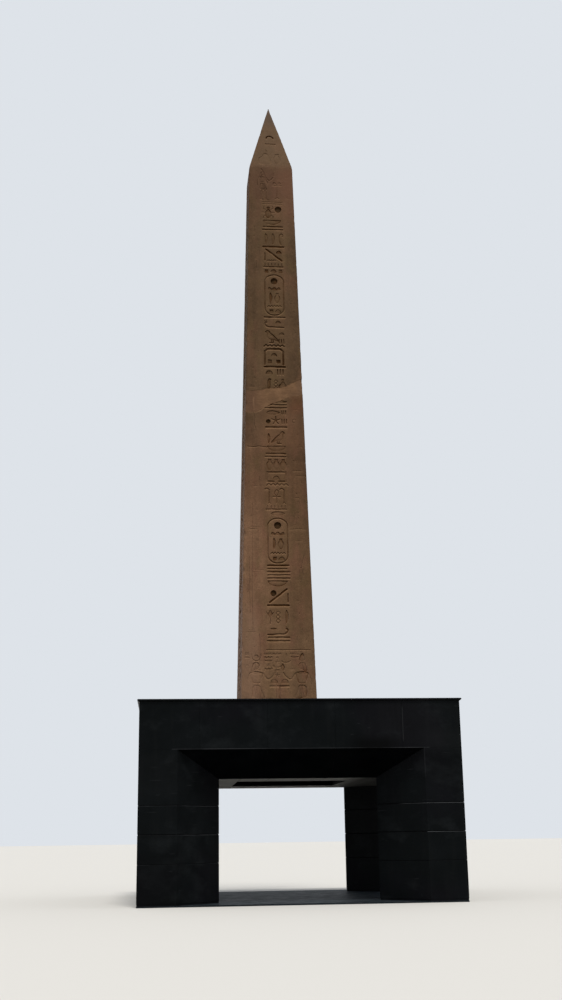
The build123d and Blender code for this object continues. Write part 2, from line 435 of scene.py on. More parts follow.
def standing_figure(crown, held):
    """A striding figure in a pleated kilt with one arm raised, in plain traditional proportions."""
    head = (
        -45, 965, 0, 995, 55, 970, 88, 900, 98, 820, 45, 805, 22, 842, -20, 848, -48, 868,
        -54, 895, -68, 912, -55, 945,
    )
    torso = (-130, 800, -40, 825, 50, 825, 130, 800, 95, 690, 62, 600, -62, 600, -95, 690)
    kilt = (-66, 590, 68, 590, 88, 460, 78, 360, -165, 335, -105, 460)
    front_leg = (-112, 335, -30, 345, -52, 200, -82, 50, -78, 0, -215, 0, -200, 24, -128, 48, -125, 200)
    back_leg = (0, 350, 75, 352, 80, 200, 62, 50, 78, 0, -55, 0, -45, 24, 18, 48, 14, 200)
    cuts = [shape(12, *part, depth=18) for part in (head, torso, kilt, front_leg, back_leg)]
    cuts += [
        stroke(14, 12, -120, 785, -190, 670, -290, 730, -325, 800, rounds=1),
        stroke(12, 10, 120, 785, 165, 640, 150, 500, rounds=1),
        stroke(5, 6, 5, 985, 16, 920, 28, 850, over=True),
        stroke(5, 6, -35, 918, -18, 918, over=True),
        groove(arc((0, 0.83), (0.085, 0.055), 190, 350, 7), 0.005, 0.006, over=True),
        stroke(5, 6, -60, 625, 60, 625, over=True),
    ]
    for x in (-0.12, -0.07, -0.02, 0.03):
        cuts.append(groove([(-0.045 + 0.25 * (x + 0.12), 0.575), (x, 0.365)], 0.004, 0.006, over=True))
    return cuts + crown + held


def small_signs(columns, top, scale=0.48, gap=0.035):
    """Short captions of small mixed signs that spell nothing, by their place across and their foot."""
    rng = np.random.default_rng(4)
    kinds = (LOAF, MOUTH, WATER, EYE, STAR, TALLIES, ARM, COMB, REED, BASKET, HILLS)
    cuts = []
    for x, bottom in columns:
        height = top
        while True:
            sign = kinds[rng.integers(len(kinds))]
            height -= max(y for cut in sign for _, y in cut["points"]) * scale
            if height < bottom:
                break
            cuts += moved(sign, x, height, scale)
            height -= gap
    return cuts


def foot_scene():
    """Two figures at an offering table under a frame line, at the foot of the face."""
    left = moved(standing_figure(HORNED_DISC, LONG_STAFF), -0.55, SCENE_FOOT, FIGURE_SCALE, flip=True)
    right = moved(standing_figure(TALL_CROWN, HELD_JAR), 0.58, SCENE_FOOT, FIGURE_SCALE)
    cuts = [groove([(-0.30, SCENE_TOP), (0.80, SCENE_TOP)], 0.011, 0.018)] + weathered(left, 0.75) + right
    cuts += moved(OFFERING_TABLE, 0.02, SCENE_FOOT, 1.9)
    cuts = weathered([{**cut, "depth": min(1.25 * cut["depth"], 0.024)} for cut in cuts], 1.0, 0.6)
    captions = small_signs(((-0.25, 5.35), (-0.03, 5.20), (0.19, 5.52), (0.40, 5.62), (-0.78, 5.40)), 5.83)
    return hand_cut(cuts + weathered(captions, 0.55, 0.6), seed=5.0)


def point_scene():
    """An arc over a line high on the pointed top, and faint figures, a jar and a table below it."""
    clear = [groove(arc((0.0, 20.58), (0.10, 0.10), 10, 170, 12), 0.024, 0.030)]
    clear.append(stroke(15, 20, -130, 20380, 160, 20380))
    faint = moved(SEATED, -0.14, 19.60, 1.7) + moved(JAR, 0.18, 19.64, 1.4)
    faint += moved(standing_figure([], HELD_JAR), -0.24, 18.47, 0.9, flip=True)
    faint += moved(OFFERING_TABLE, 0.16, 18.52)
    faint = [{**cut, "depth": 0.013} for cut in faint]
    return hand_cut(clear + weathered(faint, 1.0, 0.7), seed=7.0)


def front_damage():
    """Cracks, worn lines and chips that the photograph shows on the front."""
    chip = oval((0, 0), (0.09, 0.024), 12)
    slanted = [(x * 0.95 - y * 0.3 + 0.373, x * 0.3 + y * 0.95 + 12.634) for x, y in chip]
    cuts = [
        stroke(8, 10, 460, 10570, 550, 10590, 670, 10575),
        stroke(26, 9, -270, 19440, -190, 19300, -160, 19120, -100, 19000),
        stroke(7, 10, -740, 9030, -620, 9010, -500, 9020),
        stroke(7, 9, 340, 9000, 520, 9020, 730, 9010),
        stroke(6, 8, 460, 9860, 600, 9850),
        stroke(6, 8, -700, 8300, -705, 7600, -690, 6850),
        stroke(5, 8, -460, 6300, -440, 5950, -470, 5600),
        stroke(12, 18, -720, 11235, -550, 11225, -420, 11245, -220, 11215, -130, 11225),
        stroke(5, 10, -560, 12200, -520, 12020, -540, 11860, -490, 11700),
        stroke(5, 8, 700, 8350, 620, 8050, 660, 7800, 600, 7620),
        stroke(6, 8, -610, 9700, -620, 8600, -635, 7500, -625, 6400),
        stroke(6, 8, -550, 7950, -350, 7940),
        groove(arc((0.51, 11.95), (0.045, 0.055), 50, 290, 9), 0.008, 0.011),
        sunk(oval((0.204, 12.497), (0.055, 0.036), 12), 0.013, 0.006),
        sunk(slanted, 0.013, 0.006),
    ]
    return hand_cut(cuts, seed=6.0)


def scratches(turn):
    """Scratches and small pits strewn over one face beside the carved column."""
    rng = np.random.default_rng(100 + turn)
    marks = []
    while len(marks) < SCRATCH_COUNT:
        height = rng.uniform(*SCRATCHED_HEIGHTS)
        across = rng.uniform(-1, 1) * (float(shaft_half(height)) - 0.08)
        reach = 0.42 if height > SCENE_TOP else 0.0
        if rng.random() < 0.45:
            length = rng.uniform(0.06, 0.30)
            level = rng.random() < 0.6
            drift = rng.uniform(-0.01, 0.01)
            step = (length, drift) if level else (drift, length)
            line = []
            for t in (0, 0.3, 0.6, 1):
                line.append((across + step[0] * t, height + step[1] * t + rng.uniform(-0.004, 0.004)))
            mark = groove(line, rng.uniform(0.004, 0.007), rng.uniform(0.003, 0.007))
        else:
            size = rng.uniform(0.010, 0.026)
            outline = []
            for x, y in oval((0, 0), (size, size), 8):
                outline.append((across + x * rng.uniform(0.7, 1.3), height + y * rng.uniform(0.7, 1.3)))
            mark = sunk(outline, rng.uniform(0.004, 0.009), 0.0)
        if all(abs(x - COLUMN_SHIFT) > reach and abs(x) < shaft_half(y) - 0.05 for x, y in mark["points"]):
            marks.append(mark)
    return marks


# Depth of the cuts at a point
def line_distance(points, line, closed):
    """Distance from each point to a line of points, and how far below the line it lies."""
    line = np.array(line, float)
    ends = np.roll(line, -1, axis=0) if closed else line[1:]
    best = np.full(len(points), 1e9)
    below = np.zeros(len(points))
    for a, b in zip(line, ends):
        along = b - a
        length = max(along @ along, 1e-12)
        t = np.clip((points - a) @ along / length, 0, 1)
        off = points - a - t[:, None] * along
        distance = np.hypot(*off.T)
        nearer = distance < best
        best[nearer] = distance[nearer]
        below[nearer] = -off[nearer, 1]
    return best, below


def inside(points, outline):
    """Whether each point lies inside a closed outline."""
    result = np.zeros(len(points), bool)
    line = np.array(outline, float)
    for a, b in zip(line, np.roll(line, -1, axis=0)):
        if a[1] != b[1]:
            between = (points[:, 1] > min(a[1], b[1])) & (points[:, 1] <= max(a[1], b[1]))
            crossing = a[0] + (points[:, 1] - a[1]) / (b[1] - a[1]) * (b[0] - a[0])
            result ^= between & (points[:, 0] < crossing)
    return result


def cut_depth(points, cuts):
    """How deep the stone is cut at each point of a face. Lower edges are worn to a sloping lip, whose share
    also sets a painted highlight.
    """
    base, extra, lips = np.zeros((3, len(points)))
    for cut in cuts:
        line = np.array(cut["points"])
        reach = cut.get("half", 0) + LIP + 0.001
        near = np.all((points > line.min(0) - reach) & (points < line.max(0) + reach), axis=1)
        if not near.any():
            continue
        chosen = points[near]
        distance, below = line_distance(chosen, cut["points"], cut["closed"])
        if "half" in cut:
            wall = min(WALL, cut["half"])
            depth = cut["depth"] * np.clip((cut["half"] - distance) / wall, 0, 1)
            outside = distance - cut["half"]
        else:
            depth = cut["depth"] * np.clip(distance / WALL, 0, 1)
            rise = np.clip((distance - WALL) / BULGE_REACH, 0, 1)
            depth -= cut["bulge"] * rise * rise * (3 - 2 * rise)
            held = inside(chosen, cut["points"])
            depth[~held] = 0
            outside = np.where(held, -distance, distance)
        if cut.get("patchy"):
            spots = [noise.noise(Vector((x * 7, z * 7, cut["depth"] * 100))) for x, z in chosen]
            depth = depth * (1 - cut["patchy"] * np.clip(0.35 + 1.5 * np.array(spots), 0, 1))
        if cut["over"]:
            extra[near] = np.maximum(extra[near], depth)
            continue
        base[near] = np.maximum(base[near], depth)
        under = np.clip(below / np.maximum(distance, 1e-6), 0, 1)
        share = min(1.0, cut["depth"] / CUT_DEPTH)
        lip = np.clip(1 - outside / LIP, 0, 1) * under * share * (outside > -0.004)
        lips[near] = np.maximum(lips[near], lip)
    cut = base + np.where(base > 0, extra, 0)
    return np.maximum(cut, LIP_DEPTH * lips), np.where(cut > LIP_DEPTH, 0, lips), cut


# Outlines that the mesh follows
def side_lines(points, half, closed):
    """The two lines that run beside a line at a distance."""
    line = [Vector(p) for p in points]
    count = len(line)
    left, right = [], []
    for index, point in enumerate(line):
        directions = []
        if index or closed:
            directions.append((point - line[index - 1]).normalized())
        if index < count - 1 or closed:
            directions.append((line[(index + 1) % count] - point).normalized())
        along = sum(directions, Vector((0, 0)))
        along = along.normalized() if along.length > 1e-6 else directions[0]
        across = Vector((-along.y, along.x))
        lean = max(0.5, abs(along.dot(directions[0])))
        left.append(point + across * half / lean)
        right.append(point - across * half / lean)
    return left, right


def outer_loop(points):
    """A loop round an outline at the reach of its worn lip."""
    for loop in side_lines(points, LIP, True):
        if not inside(np.array(loop), points).any():
            return loop
    return [Vector(p) for p in points]


def round_end(end, before, half):
    """Three points round an end of a line."""
    out = (Vector(end) - Vector(before)).normalized() * half
    turn = Matrix.Rotation(math.radians(45), 2)
    return [Vector(end) + turn @ out, Vector(end) + out, Vector(end) + turn.transposed() @ out]


def guide_loops(cut):
    """Closed loops of points for a cut's edge and for the foot of its walls."""
    line = cut["points"]
    lipped = not cut["over"] and cut["depth"] > LIPPED_DEPTH
    loops = []
    if "half" not in cut:
        loops.append([Vector(p) for p in line])
        if lipped:
            loops.append(outer_loop(line))
        for offset in (WALL, WALL + 0.02):
            for loop in side_lines(line, offset, True):
                spots = np.array(loop)
                held = inside(spots, line) & (line_distance(spots, line, True)[0] > 0.9 * offset)
                loops.append([p for p, keep in zip(loop, held) if keep])
        return [loop for loop in loops if len(loop) > 2]
    halves = [cut["half"], cut["half"] - WALL]
    if lipped:
        halves.append(cut["half"] + LIP)
    for half in halves:
        if half < 0.001:
            loops.append([Vector(p) for p in line])
            continue
        left, right = side_lines(line, half, cut["closed"])
        if cut["closed"]:
            loops += [left, right]
        else:
            far_end, near_end = round_end(line[-1], line[-2], half), round_end(line[0], line[1], half)
            loops.append(left + far_end + right[::-1] + near_end)
    return loops


# Shaft surfaces
def shaft_half(height):
    """Half the shaft's width at a height."""
    return np.interp(height, [FOOT_Z, NECK_Z, TIP_Z], [FOOT_HALF, NECK_HALF, TIP_HALF])


def on_shaft(turn, across, height, inset):
    """Places on one face of the shaft, from the place across it, the height and the depth below it."""
    angle = math.radians(turn)
    out = -(shaft_half(height) - inset)
    x = AXIS_X + across * math.cos(angle) - out * math.sin(angle)
    y = across * math.sin(angle) + out * math.cos(angle)
    return np.stack([x, y, height], axis=-1)


def break_height(points, x, y, seed):
    """Height of a broken surface at a place in plan, measured from the shaft's axis."""
    across, front, back = zip(*points)
    share = (y + BREAK_HALF) / (2 * BREAK_HALF)
    level = FOOT_Z + (1 - share) * np.interp(x, across, front) + share * np.interp(x, across, back)
    rough = (size * noise.noise(Vector((x * scale, y * scale, seed))) for size, scale in BREAK_ROUGHNESS)
    return level + sum(rough)


def break_line(points, turn, seed, count=64):
    """The line where a broken surface meets one face, as (across, height) points."""
    line = []
    for share in np.linspace(-1, 1, count + 1):
        height = FOOT_Z + BREAK_MIDDLE
        for _ in range(5):
            x, y, _ = on_shaft(turn, share * shaft_half(height), height, 0.0)
            height = break_height(points, x - AXIS_X, y, seed)
        line.append((float(share * shaft_half(height)), float(height)))
    return line


def level_line(height):
    """A level line across a face."""
    half = float(shaft_half(height))
    return [(half * share, height) for share in np.linspace(-1, 1, 9 if half > 0.1 else 2)]


def arris_wear(corner, heights):
    """How far the arris is worn back at each height."""
    wear = []
    for height in heights:
        spots = [Vector((corner * 17.3, row, height * scale)) for row, scale in ARRIS_NOISE]
        broad, chips, fine = map(noise.noise, spots)
        size = 0.021 + 0.014 * broad + 0.010 * fine + 0.13 * max(0.0, chips - 0.33)
        for place, length, loss in KNOWN_CHIPS.get(corner, ()):
            size += loss * max(0.0, 1 - abs(height - place) / length)
        wear.append(max(0.004, size))
    return np.array(wear)


def face_mesh(turn, low, high, cuts):
    """One face of a fragment between two lines: its points, triangles and cut depths."""
    rng = np.random.default_rng(7)
    points, edges = [], []

    def add_loop(loop, closed=True):
        start = len(points)
        points.extend(Vector(p) for p in loop)
        edges.extend((start + i, start + i + 1) for i in range(len(loop) - 1))
        if closed:
            edges.append((start + len(loop) - 1, start))

    low_line, high_line = np.array(low), np.array(high)
    steps = np.arange(FOOT_Z, TIP_Z, ARRIS_STEP)
    left, right = ([z for z in steps if low[end][1] + 0.02 < z < high[end][1] - 0.02] for end in (0, -1))
    if low[0][1] < NECK_Z < high[0][1]:
        left = sorted(left + [NECK_Z])
        right = sorted(right + [NECK_Z])
        add_loop(level_line(NECK_Z), closed=False)
    border = list(low)
    border += [(float(shaft_half(z)), z) for z in right]
    border += list(reversed(high))
    border += [(-float(shaft_half(z)), z) for z in reversed(left)]
    add_loop(border)

    def within(spots, margin=0.0):
        inner = np.abs(spots[:, 0]) < shaft_half(spots[:, 1]) - margin
        above = spots[:, 1] > np.interp(spots[:, 0], low_line[:, 0], low_line[:, 1]) + margin
        below = spots[:, 1] < np.interp(spots[:, 0], high_line[:, 0], high_line[:, 1]) - margin
        return inner & above & below

    def reaches(cut):
        spots = np.array(cut["points"])
        return within(spots, 0.01).any() and (np.abs(spots[:, 0]) < shaft_half(spots[:, 1]) - 0.03).all()

    kept = [cut for cut in cuts if reaches(cut)]
    for cut in kept:
        for loop in guide_loops(cut):
            add_loop(loop)
    fill = []
    for line in (low_line, high_line):
        if np.ptp(line[:, 1]) > 0.01:
            fill += [(x, z + step) for x, z in line[1:-1] for step in BESIDE_BREAK]
    for z in np.arange(low_line[:, 1].min(), high_line[:, 1].max(), FACE_STEP):
        half = float(shaft_half(z))
        count = max(2, int(2 * half / FACE_STEP))
        fill += [(x, z) for x in np.linspace(-half, half, count + 1)[1:-1]]
        if half > 0.06:
            fill += [(side * (half - inset), z) for side in (-1, 1) for inset in BESIDE_ARRIS]
    fill = np.array(fill) + rng.uniform(-UNEVENNESS, UNEVENNESS, (len(fill), 2)) * [0.3, 1.0]
    points.extend(Vector(p) for p in fill[within(fill, 0.008)])
    made = delaunay_2d_cdt(points, edges, [], 0, 1e-6)
    flat = np.array([tuple(v) for v in made[0]])
    triangles = np.array(made[2])
    triangles = triangles[within(flat[triangles].mean(axis=1), 1e-5)]
    lost, smear = spalled(flat, [low_line, high_line], turn)
    return flat, triangles, cut_depth(flat, kept), lost * bool(cuts), smear


def spalled(flat, lines, turn):
    """Stone broken off along the break at each point of a face, and mortar smeared over it."""
    lost, smear = np.zeros((2, len(flat)))
    fade = np.clip((shaft_half(flat[:, 1]) - np.abs(flat[:, 0])) / 0.06, 0, 1)
    for line in lines:
        if np.ptp(line[:, 1]) < 0.01:
            continue
        away = np.abs(flat[:, 1] - np.interp(flat[:, 0], line[:, 0], line[:, 1]))
        size = np.array([noise.noise(Vector((x * 6, turn, line[0, 1]))) for x in flat[:, 0]])
        left_end = np.clip((flat[:, 0] + 0.72) / 0.45, 0.05, 1) if turn == 0 else 1.0
        lost += 0.5 * np.maximum(0, 0.008 + 0.085 * size - away) * fade * left_end
        reach = 0.035 + 0.09 * np.clip(0.2 - size, 0, 1) + 0.10 * np.clip(-flat[:, 0] - 0.35, 0, 0.4)
        smear = np.maximum(smear, np.clip(1 - away / reach, 0, 1))
    return lost, smear


def worn(turn, flat, depth, inset):
    """Places in space of a face's points, with worn arrises and the whole face set back by the inset."""
    half = shaft_half(flat[:, 1])
    from_arris = half - np.abs(flat[:, 0])
    side = np.sign(flat[:, 0])
    index = SIDE_TURNS.index(turn)
    corner = np.where(side > 0, index, (index - 1) % 4)
    wear = np.zeros(len(flat))
    for each in set(corner):
        chosen = (corner == each) & (from_arris < 0.2)
        wear[chosen] = arris_wear(int(each), flat[chosen, 1])
    back = np.maximum(0, np.minimum(wear, half) - from_arris) / 2
    drawn_in = inset * np.abs(flat[:, 0]) / half
    return on_shaft(turn, flat[:, 0] - side * (back + drawn_in), flat[:, 1], depth + back + inset)


def mortar_inset(turn, flat):
    """How far the mortar lies behind the stone: least at the left end, where it was smoothed flush."""
    from_axis = on_shaft(turn, flat[:, 0], flat[:, 1], 0.0)[:, 0] - AXIS_X
    return MORTAR_INSET * np.clip((from_axis + 0.85) / 0.5, 0.2, 1.0)


def flat_end(height):
    """An end cut level: its line on a face, and its height at a place in plan."""
    return (lambda turn: level_line(height), lambda x, y: height)


def broken_end(points, seed):
    """An end along the old break: its line on a face, and its height at a place in plan."""
    lines = {turn: break_line(points, turn, seed) for turn in SIDE_TURNS}
    return (lines.get, lambda x, y: break_height(points, x - AXIS_X, y, seed))


def boundary_loops(bm):
    """The closed loops of open edges, as lists of points in order."""
    following = {}
    for edge in bm.edges:
        if edge.is_boundary:
            loop = edge.link_loops[0]
            following[loop.vert] = loop.link_loop_next.vert
    loops = []
    while following:
        vert, after = following.popitem()
        loop = [vert]
        while after in following:
            loop.append(after)
            after = following.pop(after)
        loops.append(loop)
    return loops


def close_end(bm, loop, level):
    """Closes an open end with a surface that follows the height in plan."""
    outline = [Vector(v.co.xy) for v in loop]
    spots = np.array(outline)
    across, along = (np.arange(low, high, END_STEP) for low, high in zip(spots.min(0), spots.max(0)))
    grid = np.array([(x, y) for x in across for y in along])
    grid = grid[inside(grid, outline) & (line_distance(grid, outline, True)[0] > 0.04)] if len(grid) else grid
    edges = [(i, (i + 1) % len(outline)) for i in range(len(outline))]
    made = delaunay_2d_cdt(outline + [Vector(p) for p in grid], edges, [], 1, 1e-7)
    verts = []
    for spot, origins in zip(made[0], made[3]):
        known = [i for i in origins if i < len(loop)]
        verts.append(loop[known[0]] if known else bm.verts.new((spot.x, spot.y, level(spot.x, spot.y))))
    for corners in made[2]:
        chosen = [verts[i] for i in corners]
        if len(set(chosen)) == 3 and bm.faces.get(chosen) is None:
            bm.faces.new(chosen)


def add_object(name, data):
    """A new object in the scene."""
    made = bpy.data.objects.new(name, data)
    bpy.context.scene.collection.objects.link(made)
    return made


def to_object(name, bm):
    """A new object from mesh code, which ends with it."""
    mesh = bpy.data.meshes.new(name)
    bm.to_mesh(mesh)
    bm.free()
    return add_object(name, mesh)


def shaft_piece(name, low_end, high_end, cuts):
    """One length of the shaft: four faces joined at the arrises, carved if it is of stone, and its ends."""
    bm = bmesh.new()
    shade, fresh_stone_and_lip_highlight, smeared = (bm.verts.layers.float.new(layer) for layer in ("cut", "fresh_stone_and_lip_highlight", "smear"))
    for turn in SIDE_TURNS:
        marks = cuts + scratches(turn) if cuts else []
        if cuts and turn == 0:
            marks += front_damage()
        ends = low_end[0](turn), high_end[0](turn)
        flat, triangles, (depth, lips, cut), lost, smear = face_mesh(turn, *ends, marks)
        spots = worn(turn, flat, depth + lost, 0.0 if cuts else mortar_inset(turn, flat))
        verts = {}
        for i in sorted(set(triangles.ravel().tolist())):
            verts[i] = bm.verts.new(spots[i])
            # Deeper cuts get a larger share of painted shade.
            verts[i][shade] = min(1.0, max(0.0, cut[i] - DARK_FROM) / DARK_RANGE)
            # Paler where stone is newly broken off, plus painted highlight on the lower lips of the cuts.
            verts[i][fresh_stone_and_lip_highlight] = min(1.0, lost[i] / FRESH_DEPTH + lips[i])
            verts[i][smeared] = smear[i]
        for corners in triangles.tolist():
            bm.faces.new([verts[i] for i in corners])
    bmesh.ops.remove_doubles(bm, verts=bm.verts, dist=2e-5)
    loops = sorted(boundary_loops(bm), key=lambda loop: sum(v.co.z for v in loop) / len(loop))
    close_end(bm, loops[0], low_end[1])
    close_end(bm, loops[-1], high_end[1])
    bmesh.ops.recalc_face_normals(bm, faces=bm.faces)
    piece = to_object(name, bm)
    piece.data.shade_smooth()
    piece.data.set_sharp_from_angle(angle=math.radians(28))
    return piece


# Cladding
def add_rings(bm, rings, bands=None):
    """Adds a closed body through rings of points. bands gives the material of each strip."""
    loops = [[bm.verts.new(p) for p in ring] for ring in rings]
    count = len(rings[0])
    for index, (lower, upper) in enumerate(zip(loops, loops[1:])):
        for i in range(count):
            face = bm.faces.new((lower[i], lower[(i + 1) % count], upper[(i + 1) % count], upper[i]))
            face.material_index = bands[index] if bands else 0
    bm.faces.new(loops[0][::-1])
    bm.faces.new(loops[-1])


def rings_piece(name, rings, bands=None):
    """A closed piece through rings of points."""
    bm = bmesh.new()
    add_rings(bm, rings, bands)
    bmesh.ops.recalc_face_normals(bm, faces=bm.faces)
    return to_object(name, bm)


def inset_outline(points, distance):
    """A closed convex outline moved inwards, with its corners kept square to it."""
    line = [Vector(p) for p in points]
    centre = sum(line, Vector((0, 0))) / len(line)
    shifted = []
    for i, point in enumerate(line):
        both = Vector((0, 0))
        for a, b in ((line[i - 1], point), (point, line[(i + 1) % len(line)])):
            along = (b - a).normalized()
            across = Vector((-along.y, along.x))
            both += across if across.dot(centre - a) >= 0 else -across
        shifted.append(point + both * distance * 2 / both.length_squared)
    return shifted


def joint_levels(low, high, joints, widths, arris_before, arris_after):
    """Places along a piece with how far it is cut back there, and the material of each strip."""
    levels = [(low, EDGE_CHAMFER), (low + EDGE_CHAMFER, 0.0)]
    bands = [0]
    for joint, width in zip(joints, widths):
        before, after = joint - width / 2, joint + width / 2
        levels += [(before - arris_before, 0.0), (before, arris_before), (before, JOINT_DEPTH)]
        levels += [(after, JOINT_DEPTH), (after, arris_after), (after + arris_after, 0.0)]
        bands += [0, 2, 2, 1, 0, 0]
    levels += [(high - EDGE_CHAMFER, 0.0), (high, EDGE_CHAMFER)]
    return levels, bands + [0, 0]


def pier(name, turn):
    """A pier clad in level courses."""
    outline = [
        (JAMB_HALF, -REVEAL_INNER), (PORTAL_HALF, -BASE_HALF), (BASE_HALF, -BASE_HALF),
        (BASE_HALF, -PORTAL_HALF), (REVEAL_INNER, -JAMB_HALF),
    ]
    levels, bands = joint_levels(PIER_FOOT, PORTAL_HEIGHT, COURSES, COURSE_JOINTS, COURSE_CHAMFER, EDGE_CHAMFER)
    rotation = Matrix.Rotation(math.radians(turn), 3, "Z")
    rings = [[rotation @ Vector((*p, z)) for p in inset_outline(outline, back)] for z, back in levels]
    return rings_piece(name, rings, bands)


def jointed_bar(name, section, joints, turn, mitre=0.0):
    """A bar along the front with upright joints, mitred at both ends, turned to its side."""
    centre = -min(y for y, _ in section) - mitre
    widths = [UPRIGHT_JOINT] * len(joints)
    levels, _ = joint_levels(-centre, centre, joints, widths, UPRIGHT_ARRIS, UPRIGHT_ARRIS)
    rotation = Matrix.Rotation(math.radians(turn), 3, "Z")
    rings = []
    for index, (x, back) in enumerate(levels):
        last = index in (0, len(levels) - 1)
        ring = []
        for y, z in inset_outline(section, EDGE_CHAMFER if last else back):
            end = -y - mitre
            place = math.copysign(end, x) if last else max(-end, min(end, x))
            ring.append(rotation @ Vector((place, y, z)))
        rings.append(ring)
    return rings_piece(name, rings)


def floor_tiles():
    """Floor tiles with narrow joints, flush with the floor slab's box."""
    bm = bmesh.new()
    count = round(2 * BASE_HALF / FLOOR_TILE)
    spans = []
    for i in range(count):
        low = -BASE_HALF + i * FLOOR_TILE
        spans.append((low + (TILE_GAP if i else 0), low + FLOOR_TILE - (TILE_GAP if i < count - 1 else 0)))
    for x0, x1 in spans:
        for y0, y1 in spans:
            rings = []
            for z, back in ((0, 0.0), (FLOOR_TOP - TILE_EDGE, 0.0), (FLOOR_TOP, TILE_EDGE)):
                left, right, near, far = x0 + back, x1 - back, y0 + back, y1 - back
                rings.append([(left, near, z), (right, near, z), (right, far, z), (left, far, z)])
            add_rings(bm, rings)
    return to_object("floor_tiles", bm)


# Materials
def srgb(*levels):
    """A colour from 0 to 255 per channel, as the shader wants it."""
    values = [level / 255 for level in levels]
    return (*[v / 12.92 if v <= 0.04045 else ((v + 0.055) / 1.055) ** 2.4 for v in values], 1.0)


class Shader:
    """A material with a few short ways to add nodes to it. Its colour is built up step by step."""

    def __init__(self, name, roughness, specular):
        self.material = bpy.data.materials.new(name)
        self.material.use_nodes = True
        self.tree = self.material.node_tree
        self.surface = self.tree.nodes["Principled BSDF"]
        self.put(self.surface, {"Roughness": roughness, "Specular IOR Level": specular})
        self.coordinates = self.tree.nodes.new("ShaderNodeTexCoord").outputs
        self.place = self.coordinates["Object"]
        self.x, self.y, self.z = self.axes(self.place)

    def put(self, node, inputs):
        """Links or sets a node's inputs."""
        for name, value in inputs.items():
            if isinstance(value, bpy.types.NodeSocket):
                self.tree.links.new(value, node.inputs[name])
            else:
                node.inputs[name].default_value = value

    def node(self, kind, output, inputs):
        """An output of a new node."""
        node = self.tree.nodes.new(kind)
        self.put(node, inputs)
        return node.outputs[output]

    def axes(self, vector):
        return self.node("ShaderNodeSeparateXYZ", "X", {"Vector": vector}).node.outputs

    def stretched(self, *scale):
        return self.node("ShaderNodeMapping", "Vector", {"Vector": self.place, "Scale": scale})

    def noise(self, scale, detail=3.0, rough=0.5, place=None):
        inputs = {"Vector": place or self.place, "Scale": scale, "Detail": detail, "Roughness": rough}
        return self.node("ShaderNodeTexNoise", "Fac", inputs)

    def cells(self, scale, output="Color"):
        return self.node("ShaderNodeTexVoronoi", output, {"Vector": self.place, "Scale": scale})

    def facing(self, axis):
        """1 where the surface faces the axis's low end."""
        return self.spread(self.axes(self.coordinates["Normal"])[axis], -0.5, -0.9)

    def attribute(self, name):
        output = self.node("ShaderNodeAttribute", "Fac", {})
        output.node.attribute_name = name
        return output

    def ramp(self, value, *stops):
        """A ramp of grey shares or of colours from 0 to 255."""
        output = self.node("ShaderNodeValToRGB", "Color", {"Fac": value})
        elements = output.node.color_ramp.elements
        while len(elements) < len(stops):
            elements.new(0.5)
        for element, (position, tone) in zip(elements, stops):
            element.position = position
            element.color = srgb(*tone) if isinstance(tone, tuple) else (tone, tone, tone, 1)
        return output

    def rise(self, low, high, *noise_values):
        """1 where a noise is above high and 0 where it is below low."""
        return self.ramp(self.noise(*noise_values), (low, 0.0), (high, 1.0))

    def mix(self, share, first, second, kind="MIX"):
        node = self.tree.nodes.new("ShaderNodeMix")
        node.data_type = "RGBA"
        node.blend_type = kind
        self.put(node, {"Factor": share, "A": first, "B": second})
        return node.outputs["Result"]

    def math(self, kind, first, second=0.0):
        output = self.node("ShaderNodeMath", "Value", {0: first, 1: second})
        output.node.operation = kind
        return output

    def distance(self, place, target=0.0):
        return self.math("ABSOLUTE", self.math("SUBTRACT", place, target))

    def times(self, product, *values):
        """The product of all values."""
        for value in values:
            product = self.math("MULTIPLY", product, value)
        return product

    def spread(self, value, low, high, to_low=0.0, to_high=1.0):
        """A value's place from low to high, as a value from to_low to to_high."""
        inputs = {"Value": value, "From Min": low, "From Max": high, "To Min": to_low, "To Max": to_high}
        return self.node("ShaderNodeMapRange", "Result", inputs)

    def between(self, value, low, full_low, full_high, high):
        """1 between the two inner values, and 0 beyond the two outer ones."""
        return self.times(self.spread(value, low, full_low), self.spread(value, high, full_high))

    def bump(self, height, distance, strength=1.0, below=None):
        inputs = {"Distance": distance, "Strength": strength, "Height": height}
        return self.node("ShaderNodeBump", "Normal", {**inputs, "Normal": below} if below else inputs)

    def clouded(self, dark, light, *noise_values):
        """Starts the colour with soft clouds of two tones."""
        self.colour = self.ramp(self.noise(*noise_values), (0.3, dark), (0.7, light))

    def tint(self, tone, *shares):
        """Mixes a tone into the colour, by the product of the shares."""
        self.colour = self.mix(self.times(*shares), self.colour, srgb(*tone))

    def shade(self, share, value, *stops):
        """Makes the colour darker and lighter by a ramp of a value."""
        self.colour = self.mix(share, self.colour, self.ramp(value, *stops), "MULTIPLY")

    def finish(self, normal=None, roughness=None):
        """Gives the surface its colour, and what else there is."""
        inputs = {"Base Color": self.colour, "Normal": normal, "Roughness": roughness}
        self.put(self.surface, {name: value for name, value in inputs.items() if value is not None})
        return self.material


